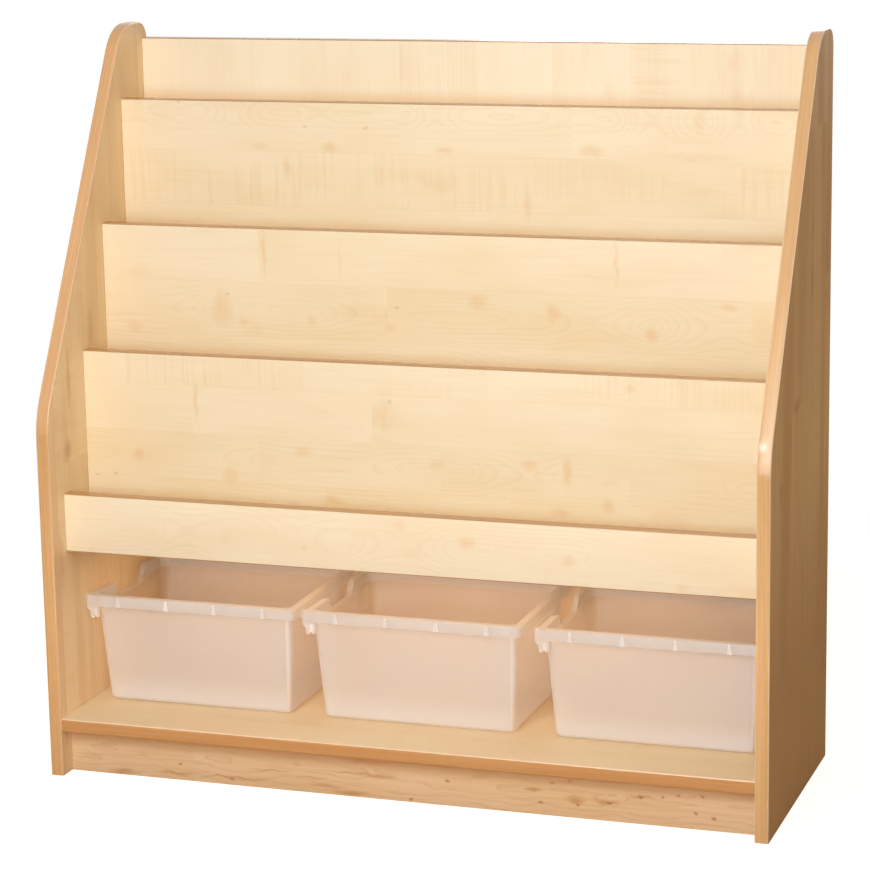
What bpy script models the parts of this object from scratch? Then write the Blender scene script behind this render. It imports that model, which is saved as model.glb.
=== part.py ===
"""Tiered book display unit with three pull-out trays.

Two profiled side panels carry a back, a base shelf on a plinth, a tray bay and four stepped book pockets.
The boards are edge-banded and joined with glued dowels. Metres, +Z up, front towards -Y, origin on the
floor under the middle of the unit.
"""

import math

import bmesh
import bpy
from mathutils import Matrix

# Overall sizes
WIDTH = 1.000
DEPTH = 0.370
HEIGHT = 1.000

# Sheet goods and fits
BOARD = 0.018
EDGING = 0.002
FIT = 0.0003
EDGING_LIFT = 0.0005

# Side panel outline: vertical front, bend, slope and rounded top
BEND_START = 0.469
BEND_RADIUS = 0.115
TOP_FRONT_RADIUS = 0.065
TOP_BACK_RADIUS = 0.025
TOP_FLAT = 0.021
ARC_STEP = math.radians(7.0)

# Base and tray bay
PLINTH_HEIGHT = 0.063
PLINTH_SETBACK = 0.029
SHELF_SETBACK = 0.002
BAY_HEIGHT = 0.227

# Front rail and stepped panels
RAIL_HEIGHT = 0.0805
RAIL_SETBACK = 0.040
BACK_DROP = 0.0225
BACK_SHOW = 0.078
LOWER_EXTRA = 0.020
POCKET_DEPTH = 0.0625

# Dowels
DOWEL_DIAMETER = 0.008
DOWEL_IN_BOARD = 0.019
DOWEL_END_GAP = 0.0005
DOWEL_SIDES = 8
HOLE_FLOOR = 0.006
DOWEL_INSET = 0.045
BACK_DOWEL_INSET = 0.120

# Trays, standing loose on the base shelf: the left rim dips between raised ends, the others are level
TRAY_GAPS = (0.0055, 0.0093, 0.0173, 0.0049)
TRAY_SETBACK = 0.077
TRAY_REAR_GAP = 0.026
TRAY_HEIGHT = 0.155
TRAY_WALL = 0.002
TRAY_LEFT_FLANGE = 0.007
TRAY_RIGHT_FLANGE = 0.009
TRAY_END_FLANGE = 0.009
TRAY_SIDE_TAPER = 0.0075
TRAY_END_TAPER = 0.015
TRAY_EAR = 0.005
TRAY_EAR_DEPTH = 0.008
TRAY_LIP = 0.015
TRAY_LEFT_LIP = 0.0315
TRAY_TAB = 0.008
TRAY_TAB_STEP = 0.0005
TRAY_DIP = 0.021
TRAY_RAISED = 0.0655
TRAY_RAMP = 0.022
TRAY_RAMP_STEPS = 4
TRAY_CORNER = 0.012
TRAY_RIM_CORNER = 0.005
TRAY_CORNER_STEPS = 3
TRAY_FLOOR_RADIUS = 0.008

# Colours, as linear red, green, blue and alpha, and roughness
MAPLE = (0.80, 0.62, 0.38, 1.0)
EDGE_BEECH = (0.62, 0.34, 0.13, 1.0)
DOWEL_BEECH = (0.55, 0.36, 0.19, 1.0)
FROSTED = (0.78, 0.72, 0.68, 0.55)
FOIL_ROUGHNESS = 0.45
EDGING_ROUGHNESS = 0.40
RAW_ROUGHNESS = 0.60
FROSTED_ROUGHNESS = 0.35

# Mesh making
WELD = 0.00001
DOWEL_CREASE = math.radians(60.0)
TRAY_CREASE = math.radians(40.0)

# Places worked out from the sizes above
FRONT = -DEPTH / 2
REAR = DEPTH / 2
INNER = WIDTH / 2 - BOARD
SHELF_TOP = PLINTH_HEIGHT + BOARD
RAIL_BOTTOM = SHELF_TOP + BAY_HEIGHT
RAIL_TOP = RAIL_BOTTOM + RAIL_HEIGHT
BACK_FACE = REAR - BOARD
BACK_TOP = HEIGHT - BACK_DROP
UPPER_TOP = BACK_TOP - BACK_SHOW
TIER_STEP = (UPPER_TOP - RAIL_TOP - LOWER_EXTRA) / 3
MIDDLE_TOP = UPPER_TOP - TIER_STEP
LOWER_TOP = MIDDLE_TOP - TIER_STEP
RAIL_FACE = FRONT + RAIL_SETBACK
TIER_PITCH = (BACK_FACE - RAIL_FACE) / 4
TIER_TOPS = {"lower": LOWER_TOP, "middle": MIDDLE_TOP, "upper": UPPER_TOP}
TIER_FACES = {name: RAIL_FACE + TIER_PITCH * (i + 1) for i, name in enumerate(TIER_TOPS)}
SHELF_FACE = FRONT + SHELF_SETBACK
HOLE_IN_SIDE = BOARD - HOLE_FLOOR
TRAY_WIDTH = (2 * INNER - sum(TRAY_GAPS)) / 3
TRAY_FRONT = SHELF_FACE + TRAY_SETBACK
TRAY_DEPTH = BACK_FACE - TRAY_REAR_GAP - TRAY_FRONT


def clear_scene():
    for old in list(bpy.data.objects):
        bpy.data.objects.remove(old, do_unlink=True)


def new_collection(name):
    collection = bpy.data.collections.new(name)
    bpy.context.scene.collection.children.link(collection)
    return collection


def new_material(name, colour, roughness):
    """A Principled material of one colour; an alpha below one makes it see-through."""
    material = bpy.data.materials.new(name)
    material.use_nodes = True
    shader = material.node_tree.nodes["Principled BSDF"]
    shader.inputs["Base Color"].default_value = colour
    shader.inputs["Alpha"].default_value = colour[3]
    shader.inputs["Roughness"].default_value = roughness
    shader.inputs["Metallic"].default_value = 0.0
    material.diffuse_color = colour
    return material


def add_round_bar(form, radius, length, middle):
    """A closed bar along X, round to the number of sides that dowels have."""
    place = Matrix.Translation(middle) @ Matrix.Rotation(math.pi / 2, 4, "Y")
    bmesh.ops.create_cone(
        form, cap_ends=True, segments=DOWEL_SIDES, radius1=radius, radius2=radius, depth=length, matrix=place
    )


class Builder:
    """Holds the collections, materials and root empty while the parts are made."""

    def __init__(self):
        self.parts = new_collection("tiered_book_display")
        self.cutters = new_collection("drilling_cutters")
        self.maple = new_material("maple_faced_board", MAPLE, FOIL_ROUGHNESS)
        self.edging = new_material("beech_edging", EDGE_BEECH, EDGING_ROUGHNESS)
        self.beech = new_material("beech_dowel", DOWEL_BEECH, RAW_ROUGHNESS)
        self.plastic = new_material("frosted_plastic", FROSTED, FROSTED_ROUGHNESS)
        self.root = bpy.data.objects.new("book_display_root", None)
        self.parts.objects.link(self.root)

    def add(self, name, mesh, material, location=(0, 0, 0)):
        """A named part, parented to the root empty."""
        part = bpy.data.objects.new(name, mesh)
        part.location = location
        part.parent = self.root
        part.data.materials.append(material)
        self.parts.objects.link(part)
        return part

    def board(self, name, low, high, material):
        """A rectangular board between two corners, its origin at its middle."""
        size = [b - a for a, b in zip(low, high)]
        middle = [(a + b) / 2 for a, b in zip(low, high)]
        form = bmesh.new()
        bmesh.ops.create_cube(form, size=1.0, matrix=Matrix.Diagonal((*size, 1.0)))
        mesh = bpy.data.meshes.new(name)
        form.to_mesh(mesh)
        form.free()
        return self.add(name, mesh, material, middle)

    def outline_panel(self, name, outline, thickness, middle_x, material):
        """A flat panel from a closed outline of depth and height points, square to X."""
        curve = bpy.data.curves.new(name + "_outline", "CURVE")
        curve.dimensions = "2D"
        curve.fill_mode = "BOTH"
        curve.extrude = thickness / 2
        spline = curve.splines.new("POLY")
        spline.points.add(len(outline) - 1)
        for point, (y, z) in zip(spline.points, outline):
            point.co = (y, z, 0, 1)
        spline.use_cyclic_u = True
        guide = bpy.data.objects.new(name + "_outline", curve)
        guide.rotation_euler = (math.pi / 2, 0, math.pi / 2)
        guide.location = (middle_x, 0, 0)
        self.parts.objects.link(guide)
        graph = bpy.context.evaluated_depsgraph_get()
        mesh = bpy.data.meshes.new_from_object(guide.evaluated_get(graph))
        mesh.name = name
        form = bmesh.new()
        form.from_mesh(mesh)
        bmesh.ops.remove_doubles(form, verts=form.verts, dist=WELD)
        form.to_mesh(mesh)
        form.free()
        mesh.materials.clear()
        panel = self.add(name, mesh, material)
        panel.matrix_world = guide.matrix_world.copy()
        bpy.data.objects.remove(guide, do_unlink=True)
        return panel

    def drill(self, part, holes):
        """Cuts round holes along X. A hole is its low x, high x, y and z."""
        form = bmesh.new()
        for low, high, y, z in holes:
            add_round_bar(form, DOWEL_DIAMETER / 2 + FIT, high - low, ((low + high) / 2, y, z))
        mesh = bpy.data.meshes.new(part.name + "_holes")
        form.to_mesh(mesh)
        form.free()
        cutter = bpy.data.objects.new(part.name + "_holes", mesh)
        cutter.hide_render = True
        cutter.display_type = "WIRE"
        self.cutters.objects.link(cutter)
        cut = part.modifiers.new("dowel_holes", "BOOLEAN")
        cut.operation = "DIFFERENCE"
        cut.object = cutter

    def dowel(self, name, low, high, y, z):
        form = bmesh.new()
        add_round_bar(form, DOWEL_DIAMETER / 2, high - low, (0, 0, 0))
        mesh = bpy.data.meshes.new(name)
        form.to_mesh(mesh)
        form.free()
        mesh.shade_smooth()
        mesh.set_sharp_from_angle(angle=DOWEL_CREASE)
        return self.add(name, mesh, self.beech, ((low + high) / 2, y, z))


def arc(centre, radius, start, end):
    """Points of an arc from one angle to another, both included."""
    steps = max(2, math.ceil(abs(end - start) / ARC_STEP))
    angles = [start + (end - start) * i / steps for i in range(steps + 1)]
    return [(centre[0] + radius * math.cos(a), centre[1] + radius * math.sin(a)) for a in angles]


def side_outline(inset, foot):
    """The side panel's edge from front foot over the top to rear foot, moved inwards by inset.

    The slope is the line that touches both the bend's circle and the top front circle.
    """
    bend = (FRONT + BEND_RADIUS, BEND_START)
    top = (REAR - TOP_BACK_RADIUS - TOP_FLAT, HEIGHT - TOP_FRONT_RADIUS)
    rear = (REAR - TOP_BACK_RADIUS, HEIGHT - TOP_BACK_RADIUS)
    along = (top[0] - bend[0], top[1] - bend[1])
    spread = math.acos((BEND_RADIUS - TOP_FRONT_RADIUS) / math.hypot(*along))
    square_to_slope = math.atan2(along[1], along[0]) + spread
    points = [(FRONT + inset, foot)]
    points += arc(bend, BEND_RADIUS - inset, math.pi, square_to_slope)
    points += arc(top, TOP_FRONT_RADIUS - inset, square_to_slope, math.pi / 2)
    points += arc(rear, TOP_BACK_RADIUS - inset, math.pi / 2, 0.0)
    points.append((REAR - inset, foot))
    return points


def make_boards(builder):
    """Every flat board that sits between the sides. Returns each with the places of its end dowels."""
    ends = INNER - FIT
    middle = BOARD / 2

    def between(name, front, rear, bottom, top, dowels):
        part = builder.board(name, (-ends, front, bottom), (ends, rear, top), builder.maple)
        return part, dowels

    def upright(name, face, bottom, top):
        spots = [(face + middle, bottom + DOWEL_INSET), (face + middle, top - DOWEL_INSET)]
        return between(name, face, face + BOARD, bottom, top - EDGING - FIT, spots)

    made = []
    base_front = SHELF_FACE + EDGING + FIT
    base_rear = BACK_FACE - FIT
    base_middle = SHELF_TOP - middle
    base_spots = [(base_front + DOWEL_INSET, base_middle), (base_rear - DOWEL_INSET, base_middle)]
    made.append(between("base_shelf", base_front, base_rear, PLINTH_HEIGHT, SHELF_TOP, base_spots))

    plinth_face = FRONT + PLINTH_SETBACK
    plinth_rear = plinth_face + BOARD
    plinth_spot = [(plinth_face + middle, PLINTH_HEIGHT / 2)]
    made.append(between("front_plinth", plinth_face, plinth_rear, 0.0, PLINTH_HEIGHT - FIT, plinth_spot))

    back_spots = [(BACK_FACE + middle, BACK_DOWEL_INSET), (BACK_FACE + middle, BACK_TOP - BACK_DOWEL_INSET)]
    made.append(between("back_panel", BACK_FACE, REAR, 0.0, BACK_TOP - EDGING - FIT, back_spots))

    bay_top = RAIL_BOTTOM + BOARD
    bay_front = RAIL_FACE + BOARD + FIT
    bay_spots = [(bay_front + DOWEL_INSET, bay_top - middle), (base_rear - DOWEL_INSET, bay_top - middle)]
    made.append(between("bay_shelf", bay_front, base_rear, RAIL_BOTTOM, bay_top, bay_spots))

    rail_spot = [(RAIL_FACE + middle, (RAIL_BOTTOM + RAIL_TOP) / 2)]
    rail_low = RAIL_BOTTOM + EDGING + FIT
    rail_high = RAIL_TOP - EDGING - FIT
    made.append(between("front_rail", RAIL_FACE, RAIL_FACE + BOARD, rail_low, rail_high, rail_spot))

    names = list(TIER_TOPS)
    floor_top = bay_top
    for i, name in enumerate(names):
        face = TIER_FACES[name]
        made.append(upright(name + "_tier_panel", face, floor_top + FIT, TIER_TOPS[name]))
        floor_top = TIER_TOPS[name] - POCKET_DEPTH
        front = face + BOARD + FIT
        last = i == len(names) - 1
        rear = base_rear if last else TIER_FACES[names[i + 1]] + BOARD
        spot = [((front + rear) / 2, floor_top - middle)]
        made.append(between(name + "_pocket_floor", front, rear, floor_top - BOARD, floor_top, spot))
    return made


def make_edgings(builder):
    """Edge bands on the visible edges of the boards between the sides."""
    ends = INNER - FIT
    bands = {
        "base_shelf_edging": (SHELF_FACE, SHELF_FACE + EDGING, PLINTH_HEIGHT, SHELF_TOP),
        "rail_top_edging": (RAIL_FACE, RAIL_FACE + BOARD, RAIL_TOP - EDGING, RAIL_TOP),
        "rail_bottom_edging": (RAIL_FACE, RAIL_FACE + BOARD, RAIL_BOTTOM, RAIL_BOTTOM + EDGING),
        "back_panel_edging": (BACK_FACE, REAR, BACK_TOP - EDGING, BACK_TOP),
    }
    for name, top in TIER_TOPS.items():
        bands[name + "_tier_edging"] = (TIER_FACES[name], TIER_FACES[name] + BOARD, top - EDGING, top)
    for name, (front, rear, bottom, top) in bands.items():
        builder.board(name, (-ends, front, bottom), (ends, rear, top), builder.edging)


def make_sides(builder, dowels):
    """Both side panels, drilled for every dowel, each with one band round its front, top and back."""
    core = side_outline(EDGING + FIT, 0.0)
    band = side_outline(0.0, EDGING_LIFT) + side_outline(EDGING, EDGING_LIFT)[::-1]
    for name, side in (("left", -1), ("right", 1)):
        middle = side * (WIDTH / 2 - BOARD / 2)
        panel = builder.outline_panel(name + "_side_panel", core, BOARD, middle, builder.maple)
        mouth = side * (INNER - FIT)
        floor = side * (INNER + HOLE_IN_SIDE)
        low, high = min(mouth, floor), max(mouth, floor)
        builder.drill(panel, [(low, high, y, z) for y, z in dowels])
        builder.outline_panel(name + "_side_edging", band, BOARD, middle, builder.edging)


def join_with_dowels(builder, boards):
    """Drills the board ends and puts a dowel in each hole. Returns the places of all dowels."""
    depth = DOWEL_IN_BOARD + DOWEL_END_GAP
    places = []
    for board, spots in boards:
        holes = []
        for i, (y, z) in enumerate(spots):
            holes.append((-INNER, -INNER + depth, y, z))
            holes.append((INNER - depth, INNER, y, z))
            for name, side in (("left", -1), ("right", 1)):
                outer = side * (INNER + HOLE_IN_SIDE - DOWEL_END_GAP)
                inner = side * (INNER - DOWEL_IN_BOARD)
                low, high = min(outer, inner), max(outer, inner)
                builder.dowel(f"dowel_{board.name}_{name}_{i + 1}", low, high, y, z)
        builder.drill(board, holes)
        places += spots
    return places


def tray_drop(y):
    """How far the left rim lies below the others, a smooth dip between its raised ends."""
    share = (TRAY_DEPTH / 2 - TRAY_RAISED - abs(y)) / TRAY_RAMP
    share = min(1.0, max(0.0, share))
    return TRAY_DIP * share * share * (3 - 2 * share)


def tray_left_side(left, half_y, corner, ear):
    """Points along the left side from rear to front: the ears' steps and the dip's ramps."""
    half = TRAY_DEPTH / 2
    squeeze = (half_y - corner) / (half - TRAY_WALL - TRAY_RIM_CORNER)
    ear_end = half - TRAY_EAR_DEPTH
    ramp_top = half - TRAY_RAISED
    places = [(ear_end, ear), (ear_end - TRAY_WALL, 0.0)]
    places += [(ramp_top - TRAY_RAMP * i / TRAY_RAMP_STEPS, 0.0) for i in range(TRAY_RAMP_STEPS + 1)]
    rear = [(-left - out, y * squeeze, TRAY_LEFT_LIP, tray_drop(y)) for y, out in places]
    return rear + [(x, -y, lip, drop) for x, y, lip, drop in rear[::-1]]


def tray_outline(left, right, half_y, corner, ear=0.0):
    """Points round the tray from above, each with how far its lip hangs and its rim dips.

    left and right are the sides' distances from the tray's middle, and ear widens the left side's ends.
    """
    tab_start = corner - left - ear
    turn = [math.pi / 2 * i / TRAY_CORNER_STEPS for i in range(TRAY_CORNER_STEPS + 1)]
    arc_y = half_y - corner
    front = [(tab_start - corner * math.cos(a), -arc_y - corner * math.sin(a), TRAY_LIP, 0.0) for a in turn]
    tab = [(1, TRAY_LIP), (2, TRAY_LEFT_LIP)]
    front += [(tab_start + TRAY_TAB_STEP * i, -half_y, lip, 0.0) for i, lip in tab]
    tab_end = tab_start + TRAY_TAB
    front += [(tab_end, -half_y, TRAY_LEFT_LIP, 0.0), (tab_end + TRAY_TAB_STEP, -half_y, TRAY_LIP, 0.0)]
    arc_x = right - corner
    front += [(arc_x + corner * math.sin(a), -arc_y - corner * math.cos(a), TRAY_LIP, 0.0) for a in turn]
    rear = [(x, -y, lip, drop) for x, y, lip, drop in front[::-1]]
    return front + rear + tray_left_side(left, half_y, corner, ear)


def tray_rings():
    """The tray's rings of points: foot rounding, wall top, flange edge and lip."""
    width = TRAY_WIDTH / 2
    lip_left = width - TRAY_EAR - TRAY_WALL
    lip_right = width - TRAY_WALL
    lip_y = TRAY_DEPTH / 2 - TRAY_WALL
    top_left = width - TRAY_EAR - TRAY_LEFT_FLANGE
    top_right = width - TRAY_RIGHT_FLANGE
    top_y = TRAY_DEPTH / 2 - TRAY_END_FLANGE
    rings = []
    for angle in (0.0, math.pi / 4, math.pi / 2):
        inset = TRAY_FLOOR_RADIUS * (1 - math.sin(angle))
        lift = TRAY_FLOOR_RADIUS * (1 - math.cos(angle))
        side_in = TRAY_SIDE_TAPER + inset
        foot_y = top_y - TRAY_END_TAPER - inset
        foot = tray_outline(top_left - side_in, top_right - side_in, foot_y, TRAY_CORNER - inset)
        rings.append([(x, y, lift) for x, y, lip, drop in foot])
    rim = TRAY_HEIGHT - TRAY_WALL
    wall_top = tray_outline(top_left, top_right, top_y, TRAY_CORNER)
    rings.append([(x, y, rim - drop) for x, y, lip, drop in wall_top])
    edge = tray_outline(lip_left, lip_right, lip_y, TRAY_RIM_CORNER, TRAY_EAR)
    rings.append([(x, y, rim - drop) for x, y, lip, drop in edge])
    rings.append([(x, y, TRAY_HEIGHT - lip) for x, y, lip, drop in edge])
    return rings


def tray_mesh(name):
    """An open tub with a flanged rim, as one sheet: wall outside, flange underside and lip inside."""
    form = bmesh.new()
    rings = [[form.verts.new(point) for point in ring] for ring in tray_rings()]
    form.faces.new(rings[0][::-1])
    count = len(rings[0])
    for low, high in zip(rings, rings[1:]):
        for i in range(count):
            j = (i + 1) % count
            form.faces.new((low[i], low[j], high[j], high[i]))
    mesh = bpy.data.meshes.new(name)
    form.to_mesh(mesh)
    form.free()
    mesh.shade_smooth()
    mesh.set_sharp_from_angle(angle=TRAY_CREASE)
    return mesh


def make_trays(builder):
    """Three loose trays, each with its origin on its own sliding axis."""
    x = -INNER
    for gap, name in zip(TRAY_GAPS, ("left_tray", "middle_tray", "right_tray")):
        x += gap + TRAY_WIDTH / 2
        place = (x, TRAY_FRONT + TRAY_DEPTH / 2, SHELF_TOP + FIT)
        tray = builder.add(name, tray_mesh(name), builder.plastic, place)
        shell = tray.modifiers.new("wall", "SOLIDIFY")
        shell.thickness = TRAY_WALL
        shell.offset = -1.0
        shell.use_even_offset = True
        x += TRAY_WIDTH / 2


def main():
    clear_scene()
    builder = Builder()
    boards = make_boards(builder)
    dowels = join_with_dowels(builder, boards)
    make_sides(builder, dowels)
    make_edgings(builder)
    make_trays(builder)


main()
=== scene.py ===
"""Looks for the tiered book display unit: boards, edge bands, trays, materials, light and camera.

Metres, +Z up, front towards -Y, in the same frame as the solids.
"""

import math

import bmesh
import bpy
from mathutils import Matrix, Vector


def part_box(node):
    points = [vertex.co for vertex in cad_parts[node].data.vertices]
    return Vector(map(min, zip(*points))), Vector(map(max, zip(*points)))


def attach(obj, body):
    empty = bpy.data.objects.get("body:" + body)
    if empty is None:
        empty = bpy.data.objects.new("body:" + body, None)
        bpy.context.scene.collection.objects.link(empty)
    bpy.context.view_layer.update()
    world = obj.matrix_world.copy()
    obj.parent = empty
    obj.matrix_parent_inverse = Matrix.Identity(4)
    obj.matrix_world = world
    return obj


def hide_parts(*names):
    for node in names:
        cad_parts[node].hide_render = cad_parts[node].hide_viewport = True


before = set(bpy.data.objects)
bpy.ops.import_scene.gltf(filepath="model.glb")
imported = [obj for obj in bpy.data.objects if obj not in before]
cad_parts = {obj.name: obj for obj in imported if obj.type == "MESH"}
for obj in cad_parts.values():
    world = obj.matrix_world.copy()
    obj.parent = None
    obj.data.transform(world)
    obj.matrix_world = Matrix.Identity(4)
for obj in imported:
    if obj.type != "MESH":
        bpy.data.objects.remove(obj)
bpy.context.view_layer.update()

# Camera, fitted to the unit's edges and corners in the photograph
CAMERA_AZIMUTH = math.radians(18.7967)
CAMERA_ELEVATION = math.radians(12.3033)
CAMERA_ROLL = math.radians(-1.0115)
CAMERA_PLACE = (1.2501, -3.6689, 1.3101)
CAMERA_LENS = 122.2055
CAMERA_SENSOR = 36.0

# Sizes shared with the solids
BOARD = 0.018
EDGING = 0.002
HALF_WIDTH = 0.500
HEIGHT = 1.000
REAR = 0.185
FRONT = -0.185
SHELF_TOP = 0.081
BEND_START = 0.469
BEND_RADIUS = 0.115
TOP_FRONT_RADIUS = 0.065
TOP_BACK_RADIUS = 0.025
TOP_FLAT = 0.021
ARC_STEP = math.radians(2.0)

# Boards and edge bands
BOARD_ARRIS = 0.0004
EDGING_ARRIS = 0.0016
THIN_EDGING = 0.0009
THIN_ARRIS = 0.0006
ARRIS_STEPS = 4
HOLE_CLEARANCE = 0.0003
HOLE_END_GAP = 0.0005
HOLE_SIDES = 20
CREASE = math.radians(35.0)
FACING_DOWN = -0.9
THIN_EDGED = ("front_rail", "lower_tier_panel", "middle_tier_panel", "upper_tier_panel", "back_panel")
RAW_FOOT_BOARDS = ("left_side_panel", "right_side_panel", "back_panel", "front_plinth")

# Trays
TRAY_WIDTH = 0.309
TRAY_DEPTH = 0.247
TRAY_HEIGHT = 0.155
TRAY_WALL = 0.002
TRAY_LEFT_FLANGE = 0.007
TRAY_RIGHT_FLANGE = 0.009
TRAY_END_FLANGE = 0.009
TRAY_SIDE_TAPER = 0.0075
TRAY_END_TAPER = 0.015
TRAY_EAR = 0.005
TRAY_EAR_DEPTH = 0.008
TRAY_LIP = 0.015
TRAY_LEFT_LIP = 0.0315
TRAY_DIP = 0.021
TRAY_RAISED = 0.0655
TRAY_RAMP = 0.022
TRAY_RAMP_STEPS = 10
TRAY_CORNER = 0.012
TRAY_RIM_CORNER = 0.005
TRAY_CORNER_STEPS = 6
TRAY_FLOOR_RADIUS = 0.008
TRAY_FLOOR_STEPS = 4
TRAY_ROUND = 0.0012
TRAY_LIP_ROUND = 0.0006
TRAY_EAR_CHAMFER = 0.006
TAB_SHAPE = (
    (0.0005, 0.0205), (0.0010, 0.0315), (0.0060, 0.0315), (0.0068, 0.0283),
    (0.0085, 0.0283), (0.0092, 0.0300), (0.0140, 0.0300), (0.0146, 0.0150),
)
RIB_PLACES = (-0.105, -0.034, 0.037, 0.108)
RIB_TOP_WIDTH = 0.0035
RIB_FOOT_WIDTH = 0.0075
RIB_PROUD = 0.0006
RIB_BITE = 0.0002
RIB_EASE = 0.0006
RIB_WEB = 0.002
WEB_BITE = 0.0004

# Floor: how much it is lifted towards white near the unit, and where it becomes plain white
FLOOR_COLOUR = (0.40, 0.30, 0.20, 1.0)
FLOOR_LIFT = 0.90
FLOOR_NEAR = 0.7
FLOOR_FAR = 1.6
FLOOR_REACH = 12.0
FLOOR_DROP = 0.0003

# Light from all round, warmer from the right
FILL_COLOUR = (1.0, 0.84, 0.64, 1.0)
FILL_RIGHT_COLOUR = (1.20, 0.78, 0.42, 1.0)
FILL_TURN = (-0.2, 0.8)
FILL_STRENGTH = 0.34

# Lamps: place, point aimed at, size, power, spread in degrees and colour
WHITE = (1.0, 1.0, 1.0)
BOUNCE_COLOUR = (1.0, 0.58, 0.28)
LAMPS = {
    "high": ((0.25, -2.6, 1.95), (0.0, 0.0, 0.6), (1.5, 1.8), 43.0, 180.0, WHITE),
    "key": ((-0.41, -2.6, 2.00), (0.0, 0.0, 0.6), (0.7, 0.30), 10.0, 180.0, WHITE),
    "low": ((0.30, -2.6, 0.75), (0.1, 0.0, 0.3), (1.5, 0.8), 13.0, 180.0, WHITE),
    "bay": ((0.20, -2.6, 0.75), (0.1, 0.0, 0.17), (1.5, 0.25), 0.17, 9.0, WHITE),
    "rear": ((0.0, 3.2, 1.8), (0.0, 0.0, 0.5), (2.0, 2.0), 34.0, 180.0, WHITE),
    "bounce": ((0.0, 0.02, 0.309), (0.0, 0.06, 0.0), (0.80, 0.24), 0.90, 180.0, BOUNCE_COLOUR),
}

# Paints of the boards, linear
MAPLE_PALE = (0.905, 0.795, 0.595, 1.0)
MAPLE_WARM = (0.850, 0.710, 0.465, 1.0)
MAPLE_STAIN = (0.770, 0.500, 0.240, 1.0)
MAPLE_LINE = (0.560, 0.340, 0.150, 1.0)
MAPLE_FLECK = (0.300, 0.160, 0.065, 1.0)
# Back panel and rail: a paler copy of the maple, painted light where they lie in shade
BACK_LIT_PALE = (0.930, 0.835, 0.650, 1.0)
BACK_LIT_WARM = (0.880, 0.750, 0.535, 1.0)
# Left side: a brighter, warmer copy of the maple, painted light and warm bounce on its inner face
LEFT_LIT_PALE = (0.960, 0.790, 0.530, 1.0)
LEFT_LIT_WARM = (0.950, 0.735, 0.440, 1.0)
# Right side: a warmer, more saturated copy of the maple, painted warm shade on its outer face
RIGHT_SHADED_PALE = (0.960, 0.770, 0.480, 1.0)
RIGHT_SHADED_WARM = (0.930, 0.700, 0.400, 1.0)
# Painted shade: the right side turns darker and browner towards its foot
RIGHT_FOOT_SHADE = (0.590, 0.385, 0.195, 1.0)
SIDE_STREAK = (0.640, 0.370, 0.165, 1.0)
SIDE_KNOT = (0.480, 0.250, 0.100, 1.0)
# Painted shade: warmer and darker at the foot of each tier and of the back strip, just above the board in
# front
POCKET_SHADE = (0.900, 0.590, 0.310, 1.0)
# Base shelf: a darker, warmer copy of the maple, painted shade
SHELF_SHADED_PALE = (0.780, 0.645, 0.435, 1.0)
SHELF_SHADED_WARM = (0.735, 0.565, 0.340, 1.0)
# Plinth: its own redder figure, and a darker, warmer copy of the maple that paints the shade under the
# shelf's overhang
PLINTH_SHADED_PALE = (0.850, 0.620, 0.400, 1.0)
PLINTH_SHADED_WARM = (0.770, 0.520, 0.290, 1.0)
# Painted shadow: the plinth's top strip, under the base shelf's overhang, darker and oranger
PLINTH_SHELF_SHADOW = (0.880, 0.500, 0.230, 1.0)
PLINTH_STAIN = (0.540, 0.235, 0.085, 1.0)
PLINTH_FLECK = (0.400, 0.150, 0.055, 1.0)
CHIP_DARK = (0.330, 0.210, 0.110, 1.0)
CHIP_LIGHT = (0.680, 0.500, 0.310, 1.0)
CHIP_SCALE = 320.0
CHIP_BUMP = (0.4, 0.0005)
DOWEL_PALE = (0.640, 0.430, 0.240, 1.0)
DOWEL_DARK = (0.480, 0.300, 0.150, 1.0)
DOWEL_PACES = (40.0, 900.0, 900.0)
DOWEL_RANGE = (0.3, 0.7)
DOWEL_BUMP = (0.2, 0.0003)

# Grain axis, axis across it, plank width, place of one seam, plank length and place of one plank end
GRAIN_LAYOUT = {
    "left_side_panel": (2, 1, 0.105, -0.060, 0.62, 0.20),
    "right_side_panel": (2, 1, 0.105, 0.045, 0.55, 0.33),
    "back_panel": (2, 0, 0.109, 0.230, 0.70, 0.28),
    "base_shelf": (0, 1, 0.072, -0.120, 0.48, -0.18),
    "front_plinth": (0, 2, 0.090, -0.010, 0.80, -0.30),
    "front_rail": (0, 2, 0.088, 0.304, 0.55, -0.07),
    "bay_shelf": (0, 1, 0.072, -0.100, 0.48, 0.10),
    "lower_tier_panel": (0, 2, 0.065, 0.465, 0.258, -0.322),
    "middle_tier_panel": (0, 2, 0.075, 0.661, 0.499, -0.251),
    "upper_tier_panel": (0, 2, 0.075, 0.8305, 0.62, 0.17),
    "lower_pocket_floor": (0, 1, 0.072, 0.010, 0.48, -0.05),
    "middle_pocket_floor": (0, 1, 0.072, 0.080, 0.48, 0.15),
    "upper_pocket_floor": (0, 1, 0.072, 0.160, 0.48, -0.11),
}
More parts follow.
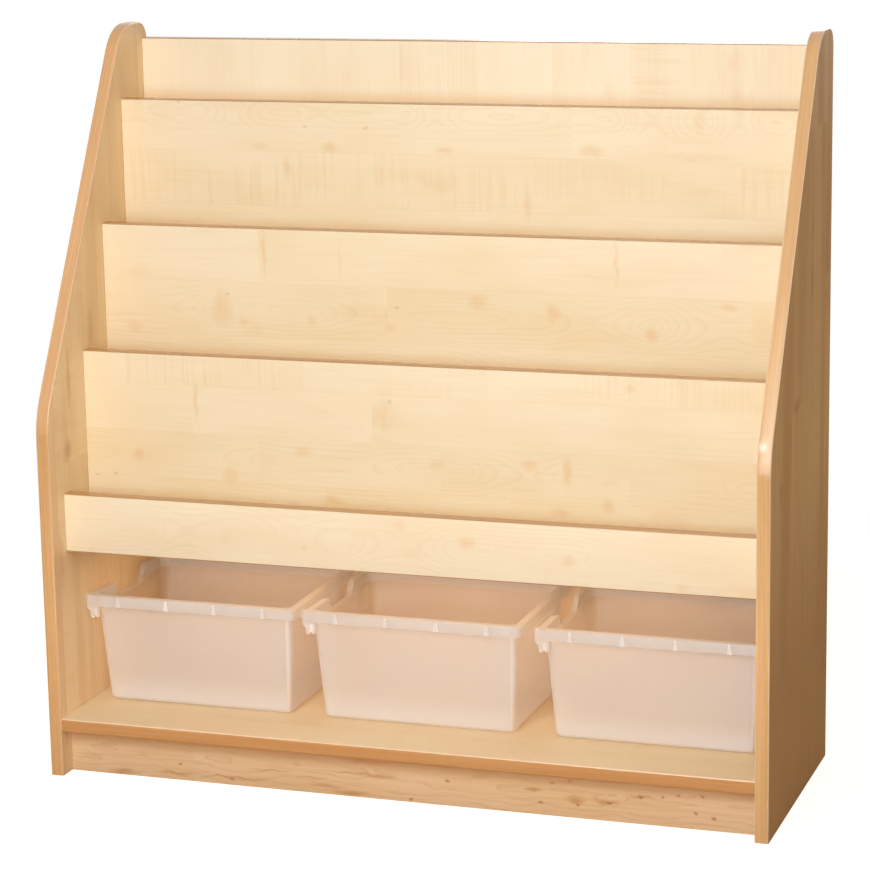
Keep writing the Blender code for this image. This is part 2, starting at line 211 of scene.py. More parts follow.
# Boards with their own copy of the maple, lighter or darker to paint light and shade; the plinth's also
# holds its own redder figure
LIT_AND_SHADED_TONES = {
    "back_panel": (BACK_LIT_PALE, BACK_LIT_WARM),
    "front_rail": (BACK_LIT_PALE, BACK_LIT_WARM),
    "left_side_panel": (LEFT_LIT_PALE, LEFT_LIT_WARM),
    "right_side_panel": (RIGHT_SHADED_PALE, RIGHT_SHADED_WARM),
    "front_plinth": (PLINTH_SHADED_PALE, PLINTH_SHADED_WARM),
    "base_shelf": (SHELF_SHADED_PALE, SHELF_SHADED_WARM),
}
MARK_TONES = {
    "front_plinth": (PLINTH_STAIN, PLINTH_FLECK),
    "left_side_panel": (SIDE_STREAK, MAPLE_FLECK),
    "right_side_panel": (SIDE_KNOT, MAPLE_FLECK),
}
STREAK_STRENGTHS = {"left_side_panel": 0.30, "right_side_panel": 0.48}
LINE_STRENGTHS = {"back_panel": 0.7, "front_plinth": 3.4, "left_side_panel": 1.6, "right_side_panel": 1.8}
# Plank rows, counted up from the seam, with growth tongues, scrawled lines, flowing lines or ripple
TONGUE_ROWS = {"upper_tier_panel": (0,)}
SCRAWL_ROWS = {"front_plinth": (0,)}
FLOW_ROWS = {
    "middle_tier_panel": (-1, -2), "lower_tier_panel": (-1, -2), "front_rail": (0,), "base_shelf": (0, 1),
    "left_side_panel": (-2, 0, 1), "right_side_panel": (-2, -1, 1), "back_panel": (-3, 1),
}
RIPPLE_ROWS = {
    "upper_tier_panel": (-1,), "lower_tier_panel": (1,), "middle_tier_panel": (1,), "base_shelf": (-1,),
    "left_side_panel": (-1,), "right_side_panel": (0,), "back_panel": (0,),
}

# Noise figures of the maple: pace along the grain, pace across it, detail and shift
MAPLE_FIGURES = {
    "blotch": (4.5, 13.0, 3.0, 0.0),
    "patch": (6.0, 14.0, 1.0, 5.0),
    "streak": (1.3, 22.0, 4.0, 0.0),
    "fibre": (7.0, 260.0, 2.0, 0.0),
    "curl": (190.0, 7.0, 1.5, 0.0),
    "spread": (3.5, 16.0, 1.0, 11.0),
    "stain": (9.0, 17.0, 3.0, 23.0),
}
# The noise at which each figure starts to show, and at which it shows in full
MAPLE_RANGES = {
    "blotch": (0.35, 0.75), "patch": (0.34, 0.62), "streak": (0.42, 0.68), "fibre": (0.42, 0.75),
    "curl": (0.42, 0.72), "spread": (0.36, 0.60), "stain": (0.60, 0.80),
}
# How strongly each figure shows
BLOTCH_WARMTH = 0.60
TONE_WARMTH = 0.25
FLOW_WARMTH = 0.25
TONGUE_SHARE = 0.13
FLOW_SHARE = 0.14
FIBRE_SHARE = 0.06
CURL_SHARE = 0.21
STAIN_SHARE = 0.30
SEAM_SHARE = 0.10
# Growth lines: swing of the cut, its turns and the rings to the metre, how far they wander, and their seed
TONGUE_LINES = (0.15, 9.0, 125.0, 0.8, 0.0)
SCRAWL_LINES = (0.07, 3.0, 110.0, 3.0, 2.0)
FLOW_LINES = (0.16, 4.0, 165.0, 0.7, 4.0)
SWAY_PACES = (14.0, 50.0)
LINE_SHARPNESS = 5.0
TONGUE_RAISE = 0.016
TONGUE_EDGE = (-0.034, -0.012)
# Planks: spread of their own noise, step and tolerance of the rows, width of a seam, step between boards
OWN_NOISE = 80.0
ROW_STEP = 0.37
ROW_TOLERANCE = 0.1
SEAM_WIDTH = 0.0008
SEED_STEP = 3.7
# Roughness goes from one value to another over a range of the noise; bump has a strength and a depth
MAPLE_SPECULAR = 0.2
MAPLE_ROUGHNESS = (0.3, 0.8, 0.38, 0.50)
MAPLE_BUMP = (0.10, 0.0002)
LINE_DEPTH = -3.0

# Painted shade: boards that turn warmer and darker towards one end, where shade falls: colour, strength
# there, and the heights where it starts and ends
SHADE_TONES = {
    "right_side_panel": (RIGHT_FOOT_SHADE, 0.80, 0.50, 0.15),
    "back_panel": (POCKET_SHADE, 0.45, 0.910, 0.894),
    "upper_tier_panel": (POCKET_SHADE, 0.45, 0.740, 0.723),
    "middle_tier_panel": (POCKET_SHADE, 0.45, 0.573, 0.556),
    "lower_tier_panel": (POCKET_SHADE, 0.45, 0.386, 0.369),
    "front_plinth": (PLINTH_SHELF_SHADOW, 0.70, 0.034, 0.060),
}

# Stains: place along and across the grain, half length, half width and strength
STAINS = {
    "left_side_panel": (
        (0.445, -0.126, 0.018, 0.013, 0.55), (0.544, -0.116, 0.050, 0.007, 0.45),
        (0.600, -0.040, 0.035, 0.008, 0.35), (0.300, -0.160, 0.045, 0.008, 0.35),
    ),
    "right_side_panel": (
        (0.536, -0.030, 0.011, 0.025, 0.42), (0.443, -0.124, 0.016, 0.011, 0.40),
        (0.680, 0.062, 0.030, 0.009, 0.30), (0.166, -0.060, 0.012, 0.022, 0.25),
    ),
    "upper_tier_panel": (
        (-0.173, 0.838, 0.013, 0.009, 0.45), (-0.008, 0.838, 0.013, 0.006, 0.40),
        (-0.278, 0.838, 0.014, 0.006, 0.25), (0.197, 0.840, 0.020, 0.009, 0.40),
        (0.344, 0.882, 0.009, 0.020, 0.22), (-0.237, 0.808, 0.007, 0.020, 0.40),
        (0.107, 0.767, 0.007, 0.026, 0.30), (0.330, 0.835, 0.072, 0.006, 0.20),
    ),
    "middle_tier_panel": (
        (-0.243, 0.703, 0.004, 0.037, 0.40), (-0.133, 0.699, 0.003, 0.029, 0.20),
        (0.251, 0.706, 0.004, 0.034, 0.40), (-0.307, 0.624, 0.017, 0.029, 0.35),
        (-0.438, 0.594, 0.014, 0.009, 0.30), (-0.275, 0.607, 0.009, 0.006, 0.35),
        (0.061, 0.646, 0.017, 0.013, 0.40), (0.165, 0.636, 0.013, 0.014, 0.45),
        (0.299, 0.612, 0.011, 0.009, 0.45), (0.400, 0.652, 0.013, 0.006, 0.35),
        (-0.066, 0.607, 0.011, 0.007, 0.30), (-0.176, 0.611, 0.009, 0.010, 0.30),
    ),
    "lower_tier_panel": (
        (-0.317, 0.508, 0.004, 0.034, 0.40), (-0.047, 0.502, 0.007, 0.031, 0.35),
        (-0.404, 0.432, 0.009, 0.011, 0.50), (-0.269, 0.409, 0.013, 0.013, 0.35),
        (-0.163, 0.447, 0.016, 0.009, 0.35), (-0.122, 0.382, 0.020, 0.009, 0.45),
        (0.026, 0.441, 0.011, 0.009, 0.30), (0.155, 0.446, 0.013, 0.009, 0.35),
        (0.205, 0.441, 0.007, 0.023, 0.45), (0.260, 0.397, 0.011, 0.011, 0.45),
        (0.196, 0.385, 0.017, 0.009, 0.40), (0.291, 0.554, 0.011, 0.007, 0.35),
    ),
    "front_rail": (
        (0.092, 0.357, 0.013, 0.010, 0.45), (0.228, 0.341, 0.014, 0.009, 0.35),
        (-0.136, 0.337, 0.006, 0.007, 0.30), (-0.246, 0.342, 0.011, 0.007, 0.20),
        (0.378, 0.317, 0.013, 0.007, 0.25), (-0.002, 0.375, 0.011, 0.009, 0.25),
    ),
    "front_plinth": (
        (-0.406, 0.004, 0.022, 0.005, 0.60), (-0.325, 0.009, 0.034, 0.003, 0.55),
        (-0.110, 0.012, 0.030, 0.003, 0.60), (-0.072, 0.005, 0.034, 0.004, 0.65),
        (-0.034, 0.032, 0.028, 0.004, 0.65), (-0.052, 0.051, 0.040, 0.005, 0.55),
        (0.239, 0.025, 0.016, 0.006, 0.70), (0.281, 0.026, 0.022, 0.004, 0.65),
        (0.180, 0.033, 0.014, 0.003, 0.65), (0.325, 0.037, 0.020, 0.003, 0.60),
        (-0.245, 0.011, 0.065, 0.0015, 0.65), (-0.185, 0.026, 0.034, 0.0015, 0.55),
        (-0.130, 0.021, 0.026, 0.0015, 0.55), (-0.065, 0.033, 0.045, 0.0015, 0.60),
    ),
}
# Stains and flecks get ragged outlines from a drift of their places, and fade between two distances
DRIFT_PACE = 60.0
DRIFT_SHIFT = 9.0
STAIN_DRIFT = 0.010
SPOT_FADE = (0.15, 1.25)

# Small dark flecks: place along and across the grain
FLECKS = {
    "upper_tier_panel": ((-0.393, 0.896), (-0.207, 0.865), (-0.121, 0.865)),
    "middle_tier_panel": ((-0.297, 0.644), (-0.052, 0.633)),
    "lower_tier_panel": ((-0.467, 0.399), (-0.441, 0.401), (-0.039, 0.520)),
    "front_plinth": (
        (0.064, 0.033), (0.207, 0.046), (0.231, 0.049), (0.192, 0.017), (0.242, 0.019), (0.284, 0.025),
        (0.327, 0.036), (0.356, 0.040), (0.377, 0.042), (0.399, 0.022), (0.423, 0.018), (0.408, 0.044),
        (0.012, 0.004), (-0.244, 0.008), (-0.320, 0.023),
    ),
}
FLECK_HALF_LENGTH = 0.0040
FLECK_HALF_WIDTH = 0.0026
FLECK_STRENGTH = 0.24
PLINTH_FLECK_STRENGTH = 0.75

# Paints of the edge bands, linear
BEECH = (0.680, 0.395, 0.170, 1.0)
BEECH_LIGHT = (0.760, 0.450, 0.210, 1.0)
BEECH_DARK = (0.520, 0.250, 0.090, 1.0)
# Right side's band: a lighter, yellower copy of the same beech, painted light for the stronger light on the
# right
RIGHT_LIT_BEECH = (0.680, 0.415, 0.183, 1.0)
RIGHT_LIT_BEECH_LIGHT = (0.760, 0.472, 0.225, 1.0)
# Top bands: a darker copy of the same beech, painted shade on their upward faces
TOP_SHADED_BEECH = (0.520, 0.275, 0.110, 1.0)
TOP_SHADED_BEECH_LIGHT = (0.570, 0.325, 0.140, 1.0)
SHELF_BEECH = (0.595, 0.290, 0.108, 1.0)
SHELF_BEECH_LIGHT = (0.640, 0.335, 0.135, 1.0)
ARRIS_HIGHLIGHT = (0.960, 0.830, 0.650, 1.0)
ARRIS_HIGHLIGHT_FADE = (0.0006, 0.0014)

# Edge bands: paint's name, two tones, axes across the band, and axis, places and strength of the painted
# highlights along the arrises
LEFT_HIGHLIGHT_ARRISES = (-HALF_WIDTH, BOARD - HALF_WIDTH)
RIGHT_HIGHLIGHT_ARRISES = (HALF_WIDTH, HALF_WIDTH - BOARD)
BEECH_BANDS = {
    "left": ("left_beech_band", BEECH, BEECH_LIGHT, (0,), 0, LEFT_HIGHLIGHT_ARRISES, 0.4),
    "right": ("right_lit_beech_band", RIGHT_LIT_BEECH, RIGHT_LIT_BEECH_LIGHT, (0,), 0, RIGHT_HIGHLIGHT_ARRISES, 0.7),
    "straight": ("beech_band", TOP_SHADED_BEECH, TOP_SHADED_BEECH_LIGHT, (1, 2), None, (), 0.0),
    "shelf": ("shelf_beech_band", SHELF_BEECH, SHELF_BEECH_LIGHT, (1, 2), 2, (SHELF_TOP,), 0.75),
}
# Noise figures of the beech: pace along the band, pace across it and detail
BEECH_STREAK = (5.0, 300.0, 3.0)
BEECH_RAY = (22.0, 900.0, 1.0)
BEECH_BROAD = (2.2, 30.0, 2.0)
STREAK_RANGE = (0.3, 0.7)
RAY_RANGE = (0.56, 0.75)
BROAD_RANGE = (0.4, 0.7)
DARK_SHARE = 0.25
BEECH_SPECULAR = 0.65
BEECH_ROUGHNESS = (0.25, 0.75, 0.16, 0.26)
BEECH_BUMP = (0.04, 0.0002)

# Frosted plastic: colours, share of light passed on, and how much each part covers what is behind it
PLASTIC = (0.905, 0.930, 0.960, 1.0)
# Warm middle of the walls: partly the plastic's own tint, partly a painted glow of the wood behind
PLASTIC_WARM_GLOW = (0.990, 0.940, 0.885, 1.0)
PLASTIC_DULL = (0.940, 0.880, 0.830, 1.0)
PLASTIC_GLOW = (0.990, 0.925, 0.870, 1.0)
PLASTIC_GLOW_SHARE = 0.34
SIDE_GLOW_SHARE = 0.85
WALL_COVER = 0.68
REAR_COVER = 0.42
RIM_COVER = 0.54
RIB_COVER = 0.92
# Cover added along the painted highlight at the front corners
CORNER_HIGHLIGHT_COVER = 0.25
FOOT_COVER = 0.14
INSIDE_ALPHA = 0.05
# Where the tray's parts begin and end, as shares of its width from the middle, its height and its depth
END_PLACES = (0.30, 0.47)
END_WHITE = 0.7
SIDE_PLACES = (0.420, 0.440)
FOOT_LEVELS = (0.04, 0.30)
RIM_LEVELS = (0.875, 0.905)
FRONT_DEPTHS = (0.085, 0.130)
REAR_DEPTHS = (0.70, 0.88)
# Painted highlight line at the front corners: its place at the foot, its lean with height, and its widths
CORNER_HIGHLIGHT_FOOT = 0.432
CORNER_HIGHLIGHT_LEAN = 0.020
CORNER_HIGHLIGHT_WIDTHS = (0.003, 0.012)
CLOUD_PACES = (9.0, 9.0, 9.0)
CLOUD_RANGE = (0.35, 0.7)
CLOUD_SHARE = 0.5
GRIT_PACES = (900.0, 900.0, 900.0)
PLASTIC_ROUGHNESS = (0.3, 0.7, 0.38, 0.50)
PLASTIC_BUMP = (0.06, 0.0002)


class Paint:
    """One Principled material, built from texture nodes in the piece's own coordinates."""

    def __init__(self, name, roughness):
        self.material = bpy.data.materials.new(name)
        self.material.use_nodes = True
        self.tree = self.material.node_tree
        self.shader = self.tree.nodes["Principled BSDF"]
        self.shader.inputs["Roughness"].default_value = roughness
        place = self.node("ShaderNodeTexCoord").outputs["Object"]
        split = self.node("ShaderNodeSeparateXYZ")
        self.tree.links.new(place, split.inputs[0])
        self.axes = list(split.outputs)

    def node(self, kind, **settings):
        node = self.tree.nodes.new(kind)
        for key, value in settings.items():
            setattr(node, key, value)
        return node

    def feed(self, socket, value):
        if isinstance(value, bpy.types.NodeSocket):
            self.tree.links.new(value, socket)
        else:
            socket.default_value = value

    def math(self, operation, *values):
        node = self.node("ShaderNodeMath", operation=operation)
        for socket, value in zip(node.inputs, values):
            self.feed(socket, value)
        return node.outputs[0]

    def ramp(self, value, low, high, to_low=0.0, to_high=1.0):
        """A smooth step from one value to another."""
        node = self.node("ShaderNodeMapRange", interpolation_type="SMOOTHSTEP")
        for socket, number in zip(node.inputs, (value, low, high, to_low, to_high)):
            self.feed(socket, number)
        return node.outputs[0]

    def vector(self, *parts):
        node = self.node("ShaderNodeCombineXYZ")
        for socket, value in zip(node.inputs, parts):
            self.feed(socket, value)
        return node.outputs[0]

    def noise(self, along, across, third, detail=2.0):
        node = self.node("ShaderNodeTexNoise")
        self.feed(node.inputs["Vector"], self.vector(along, across, third))
        node.inputs["Scale"].default_value = 1.0
        node.inputs["Detail"].default_value = detail
        return node.outputs[0]

    def paced_noise(self, paces, detail):
        """Noise with its own pace along each axis."""
        return self.noise(*[self.times(axis, pace) for axis, pace in zip(self.axes, paces)], detail)

    def mix(self, factor, first, second):
        """Two colours mixed, by the node's sockets for colour."""
        node = self.node("ShaderNodeMix", data_type="RGBA")
        for index, value in ((0, factor), (6, first), (7, second)):
            self.feed(node.inputs[index], value)
        return node.outputs[2]

    def mix_shaders(self, factor, first, second):
        node = self.node("ShaderNodeMixShader")
        for socket, value in zip(node.inputs, (factor, first, second)):
            self.feed(socket, value)
        return node.outputs[0]

    def times(self, value, number):
        return self.math("MULTIPLY", value, number)

    def colour(self, socket):
        self.feed(self.shader.inputs["Base Color"], socket)

    def roughness(self, socket):
        self.feed(self.shader.inputs["Roughness"], socket)

    def bump(self, height, strength, distance):
        node = self.node("ShaderNodeBump")
        node.inputs["Strength"].default_value = strength
        node.inputs["Distance"].default_value = distance
        self.feed(node.inputs["Height"], height)
        self.feed(self.shader.inputs["Normal"], node.outputs[0])


def in_rows(paint, row_number, rows):
    """1 in the plank rows named, 0 elsewhere."""
    share = 0.0
    for row in rows:
        share = paint.math("ADD", share, paint.math("COMPARE", row_number, float(row), ROW_TOLERANCE))
    return share


def growth_lines(paint, u, side, own, seed, layout):
    """Growth rings cut by the board's face: tongues where the cut rises or falls, else lines."""
    swing, turns, pace, wander, own_seed = layout
    rise = paint.noise(paint.times(u, turns), seed + own_seed, own, detail=1.0)
    rise = paint.times(paint.math("SUBTRACT", rise, 0.5), swing)
    ring = paint.math("SQRT", paint.math("ADD", paint.times(rise, rise), paint.times(side, side)))
    sway = paint.noise(paint.times(u, SWAY_PACES[0]), paint.times(side, SWAY_PACES[1]), own, detail=2.0)
    ring = paint.math("FRACT", paint.math("ADD", paint.times(ring, pace), paint.times(sway, wander)))
    return paint.math("POWER", ring, LINE_SHARPNESS)


def placed_marks(paint, u, v, marks):
    """The strongest of the soft spots placed on the board."""
    place = paint.vector(u, v, 0.0)
    strongest = 0.0
    for along, across, half_length, half_width, strength in marks:
        move = paint.node("ShaderNodeVectorMath", operation="SUBTRACT")
        paint.feed(move.inputs[0], place)
        move.inputs[1].default_value = (along, across, 0.0)
        scale = paint.node("ShaderNodeVectorMath", operation="DIVIDE")
        paint.feed(scale.inputs[0], move.outputs[0])
        scale.inputs[1].default_value = (half_length, half_width, 1.0)
        away = paint.node("ShaderNodeVectorMath", operation="LENGTH")
        paint.feed(away.inputs[0], scale.outputs[0])
        spot = paint.ramp(away.outputs["Value"], *SPOT_FADE, strength, 0.0)
        strongest = paint.math("MAXIMUM", strongest, spot)
    return strongest


def maple_paint(node, pale, warm, grain, across, row, seam, plank, end, seed):
    """Maple foil: planks of different tone with growth lines, ripple, stains and flecks, and painted shade
    towards one end on some boards.
    """
    paint = Paint(node + "_maple", roughness=0.42)
    paint.shader.inputs["Specular IOR Level"].default_value = MAPLE_SPECULAR
    u = paint.axes[grain]
    v = paint.axes[across]
    planks_across = paint.math("DIVIDE", paint.math("SUBTRACT", v, seam), row)
    row_number = paint.math("FLOOR", planks_across)
    in_row = paint.math("SUBTRACT", paint.math("FRACT", planks_across), 0.5)
    planks = paint.math("DIVIDE", paint.math("SUBTRACT", u, end), plank)
    planks = paint.math("ADD", planks, paint.times(row_number, ROW_STEP))
    chance = paint.node("ShaderNodeTexWhiteNoise", noise_dimensions="3D")
    paint.feed(chance.inputs["Vector"], paint.vector(row_number, paint.math("FLOOR", planks), seed))
    tone = chance.outputs["Value"]
    own = paint.times(tone, OWN_NOISE)

    def noise_of(figure):
        along, wide, detail, shift = MAPLE_FIGURES[figure]
        third = paint.math("ADD", own, shift)
        return paint.noise(paint.times(u, along), paint.times(v, wide), third, detail)

    def share_of(figure, full=1.0):
        return paint.ramp(noise_of(figure), *MAPLE_RANGES[figure], 0.0, full)

    def rows_of(table):
        return in_rows(paint, row_number, table.get(node, ()))

    def drifted(place, shift):
        away = paint.noise(paint.times(u, DRIFT_PACE), paint.times(v, DRIFT_PACE), seed + shift, detail=2.0)
        return paint.math("ADD", place, paint.times(paint.math("SUBTRACT", away, 0.5), STAIN_DRIFT))

    flow_rows = rows_of(FLOW_ROWS)
    warmth = paint.math("ADD", paint.times(tone, TONE_WARMTH), share_of("blotch", BLOTCH_WARMTH))
    warmth = paint.math("ADD", warmth, paint.times(flow_rows, FLOW_WARMTH))
    colour = paint.mix(warmth, pale, warm)

    side = paint.times(in_row, row)
    raised = paint.math("SUBTRACT", side, TONGUE_RAISE)
    tongue = growth_lines(paint, u, raised, own, seed, TONGUE_LINES)
    tongue = paint.math("MULTIPLY", tongue, paint.ramp(raised, *TONGUE_EDGE))
    tongue = paint.math("MULTIPLY", tongue, rows_of(TONGUE_ROWS))
    scrawl = growth_lines(paint, u, side, own, seed, SCRAWL_LINES)
    scrawl = paint.math("MULTIPLY", scrawl, rows_of(SCRAWL_ROWS))
    tongue = paint.math("ADD", tongue, scrawl)
    flow = growth_lines(paint, u, side, own, seed, FLOW_LINES)
    flow = paint.math("MULTIPLY", flow, flow_rows)
    flow = paint.math("MULTIPLY", flow, share_of("patch"))
    line_strength = LINE_STRENGTHS.get(node, 1.0)
    line = paint.math("ADD", paint.times(tongue, TONGUE_SHARE), paint.times(flow, FLOW_SHARE))
    line = paint.times(line, line_strength)
    colour = paint.mix(line, colour, MAPLE_LINE)

    if node in STREAK_STRENGTHS:
        colour = paint.mix(share_of("streak", STREAK_STRENGTHS[node]), colour, SIDE_STREAK)

    fibre = noise_of("fibre")
    fibre_share = paint.ramp(fibre, *MAPLE_RANGES["fibre"], 0.0, FIBRE_SHARE * line_strength)
    colour = paint.mix(fibre_share, colour, MAPLE_LINE)

    curl = paint.math("MULTIPLY", share_of("spread"), share_of("curl"))
    curl = paint.math("MULTIPLY", curl, rows_of(RIPPLE_ROWS))
    colour = paint.mix(paint.times(curl, CURL_SHARE), colour, MAPLE_STAIN)

    drift_u = drifted(u, 0.0)
    drift_v = drifted(v, DRIFT_SHIFT)
    stain = share_of("stain", STAIN_SHARE)
    stain = paint.math("MAXIMUM", stain, placed_marks(paint, drift_u, drift_v, STAINS.get(node, ())))
    stain_tone, fleck_tone = MARK_TONES.get(node, (MAPLE_STAIN, MAPLE_FLECK))
    colour = paint.mix(stain, colour, stain_tone)

    fleck_strength = PLINTH_FLECK_STRENGTH if node == "front_plinth" else FLECK_STRENGTH
    fleck_shape = (FLECK_HALF_LENGTH, FLECK_HALF_WIDTH, fleck_strength)
    spots = [(*place, *fleck_shape) for place in FLECKS.get(node, ())]
    colour = paint.mix(placed_marks(paint, drift_u, drift_v, spots), colour, fleck_tone)

    # Painted shade: warmer and darker towards one end of the board; on the back panel only on its front
    # face
    if node in SHADE_TONES:
        shade_tone, shade_share, start, stop = SHADE_TONES[node]
        share = paint.ramp(paint.axes[2], start, stop, 0.0, shade_share)
        if node == "back_panel":
            at_front = paint.math("LESS_THAN", paint.axes[1], REAR - BOARD / 2)
            share = paint.math("MULTIPLY", share, at_front)
        colour = paint.mix(share, colour, shade_tone)

    edge = paint.math("ABSOLUTE", in_row)
    edge = paint.ramp(edge, 0.5 - SEAM_WIDTH / row, 0.5, 0.0, SEAM_SHARE)
    colour = paint.mix(edge, colour, MAPLE_LINE)

    paint.colour(colour)
    paint.roughness(paint.ramp(fibre, *MAPLE_ROUGHNESS))
    paint.bump(paint.math("ADD", fibre, paint.times(line, LINE_DEPTH)), *MAPLE_BUMP)
    return paint.material


def beech_paint(name, base, light, fast_axes, highlight_axis, highlight_places, highlight_strength):
    """Orange beech edge band: streaks and short rays along the band, with painted highlights along its
    arrises.
    """
    paint = Paint(name, roughness=0.26)
    paint.shader.inputs["Specular IOR Level"].default_value = BEECH_SPECULAR

    def figure(slow, fast, detail):
        paces = [fast if axis in fast_axes else slow for axis in range(3)]
        return paint.paced_noise(paces, detail)

    streak = figure(*BEECH_STREAK)
    ray = figure(*BEECH_RAY)
    broad = figure(*BEECH_BROAD)
    colour = paint.mix(paint.ramp(streak, *STREAK_RANGE), base, light)
    colour = paint.mix(paint.ramp(ray, *RAY_RANGE, 0.0, DARK_SHARE), colour, BEECH_DARK)
    colour = paint.mix(paint.ramp(broad, *BROAD_RANGE, 0.0, DARK_SHARE), colour, BEECH_DARK)
    # Painted highlights: pale lines along the rounded arrises
    for place in highlight_places:
        gap = paint.math("ABSOLUTE", paint.math("SUBTRACT", paint.axes[highlight_axis], place))
        colour = paint.mix(paint.ramp(gap, *ARRIS_HIGHLIGHT_FADE, highlight_strength, 0.0), colour, ARRIS_HIGHLIGHT)
    paint.colour(colour)
    paint.roughness(paint.ramp(streak, *BEECH_ROUGHNESS))
    paint.bump(paint.math("ADD", streak, ray), *BEECH_BUMP)
    return paint.material


def chipboard_paint():
    """Raw chipboard on the sawn edges that stand on the floor."""
    paint = Paint("raw_chipboard", roughness=0.85)
    cells = paint.node("ShaderNodeTexVoronoi")
    paint.feed(cells.inputs["Vector"], paint.vector(*paint.axes))
    cells.inputs["Scale"].default_value = CHIP_SCALE
    tones = paint.node("ShaderNodeSeparateColor")
    paint.feed(tones.inputs[0], cells.outputs["Color"])
    paint.colour(paint.mix(tones.outputs[0], CHIP_DARK, CHIP_LIGHT))
    paint.bump(tones.outputs[1], *CHIP_BUMP)
    return paint.material


def dowel_paint():
    """Raw beech dowel with pores along its length."""
    paint = Paint("raw_beech_dowel", roughness=0.65)
    fibre = paint.paced_noise(DOWEL_PACES, detail=3.0)
    paint.colour(paint.mix(paint.ramp(fibre, *DOWEL_RANGE), DOWEL_PALE, DOWEL_DARK))
    paint.bump(fibre, *DOWEL_BUMP)
    return paint.material


def plastic_paint(name, wall_cover, rear_cover, rim_cover):
    """Frosted moulding that passes light on: whiter at its ends, foot and rim, clearer at the rear, with a
    painted highlight down its front corners; the walls' warm middle is partly its own tint and partly a
    painted glow of the wood behind.
    """
    paint = Paint(name, roughness=0.42)
    split = paint.node("ShaderNodeSeparateXYZ")
    paint.feed(split.inputs[0], paint.node("ShaderNodeTexCoord").outputs["Generated"])
    across, depth, height = split.outputs
    off_middle = paint.math("ABSOLUTE", paint.math("SUBTRACT", across, 0.5))
    ends = paint.ramp(off_middle, *END_PLACES, 0.0, END_WHITE)
    foot = paint.ramp(height, *FOOT_LEVELS, 1.0, 0.0)
    rim = paint.ramp(height, *RIM_LEVELS)
    front = paint.ramp(depth, *FRONT_DEPTHS, 1.0, 0.0)
    # Painted highlight: a paler, more covering line down the front corners
    highlight_place = paint.math("ADD", paint.times(height, CORNER_HIGHLIGHT_LEAN), CORNER_HIGHLIGHT_FOOT)
    corner = paint.math("ABSOLUTE", paint.math("SUBTRACT", off_middle, highlight_place))
    corner = paint.math("MULTIPLY", paint.ramp(corner, *CORNER_HIGHLIGHT_WIDTHS, 1.0, 0.0), front)
    # Paler at the ends, foot, rim and painted corner highlight; elsewhere the warm tint, partly own and
    # partly a painted glow of the wood behind
    white = paint.math("MAXIMUM", paint.math("MAXIMUM", ends, foot), paint.math("MAXIMUM", rim, corner))
    colour = paint.mix(white, PLASTIC_WARM_GLOW, PLASTIC)
    cloud = paint.ramp(paint.paced_noise(CLOUD_PACES, detail=3.0), *CLOUD_RANGE, 0.0, CLOUD_SHARE)
    paint.colour(paint.mix(cloud, colour, PLASTIC_DULL))
    grit = paint.paced_noise(GRIT_PACES, detail=2.0)
    paint.roughness(paint.ramp(grit, *PLASTIC_ROUGHNESS))
    paint.bump(grit, *PLASTIC_BUMP)

    glow = paint.node("ShaderNodeBsdfTranslucent")
    glow.inputs["Color"].default_value = PLASTIC_GLOW
    inner = paint.math("SUBTRACT", 1.0, paint.math("MAXIMUM", rim, front))
    side = paint.math("MULTIPLY", paint.ramp(off_middle, *SIDE_PLACES), inner)
    glow_share = paint.ramp(side, 0.0, 1.0, PLASTIC_GLOW_SHARE, SIDE_GLOW_SHARE)
    frosted = paint.mix_shaders(glow_share, paint.shader.outputs[0], glow.outputs[0])

    clear = paint.node("ShaderNodeBsdfTransparent")
    cover = paint.ramp(depth, *REAR_DEPTHS, wall_cover, rear_cover)
    cover = paint.math("ADD", cover, paint.times(corner, CORNER_HIGHLIGHT_COVER))
    cover = paint.math("ADD", cover, paint.times(foot, FOOT_COVER))
    cover = paint.ramp(height, *RIM_LEVELS, cover, rim_cover)
    shown = paint.mix_shaders(cover, clear.outputs[0], frosted)
    paint.feed(paint.tree.nodes["Material Output"].inputs[0], shown)
    return paint.material


def inside_paint():
    """The moulding's second face, nearly clear, so that a wall frosts what is behind it only once."""
    paint = Paint("clear_plastic_face", roughness=0.5)
    grit = paint.paced_noise(GRIT_PACES, detail=2.0)
    paint.colour(paint.mix(grit, PLASTIC, PLASTIC_DULL))
    paint.bump(grit, *PLASTIC_BUMP)
    paint.shader.inputs["Alpha"].default_value = INSIDE_ALPHA
    return paint.material


def finish_mesh(form, name):
    """Turns a form into a smooth mesh with normals outwards and sharp edges."""
    bmesh.ops.recalc_face_normals(form, faces=form.faces)
    mesh = bpy.data.meshes.new(name)
    form.to_mesh(mesh)
    form.free()
    mesh.shade_smooth()
    mesh.set_sharp_from_angle(angle=CREASE)
    return mesh


def add_object(name, data):
    """A new object in the scene."""
    made = bpy.data.objects.new(name, data)
    bpy.context.scene.collection.objects.link(made)
    return made


def add_piece(node, mesh, material, body):
    """A piece that stands for one solid, riding on its body."""
    piece = add_object(node + "_finish", mesh)
    mesh.materials.append(material)
    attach(piece, body)
    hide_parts(node)
    return piece


def dowel_holes(picked):
    """One cutter with a hole for each of the dowels named."""
    form = bmesh.new()
    for name in picked:
        low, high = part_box(name)
        radius = (high.z - low.z) / 2 + HOLE_CLEARANCE
        length = high.x - low.x + 2 * HOLE_END_GAP
        place = Matrix.Translation((low + high) / 2) @ Matrix.Rotation(math.pi / 2, 4, "Y")
        bmesh.ops.create_cone(
            form, cap_ends=True, segments=HOLE_SIDES, radius1=radius, radius2=radius,
            depth=length, matrix=place,
        )
    mesh = bpy.data.meshes.new("holes")
    form.to_mesh(mesh)
    form.free()
    return add_object("holes", mesh)


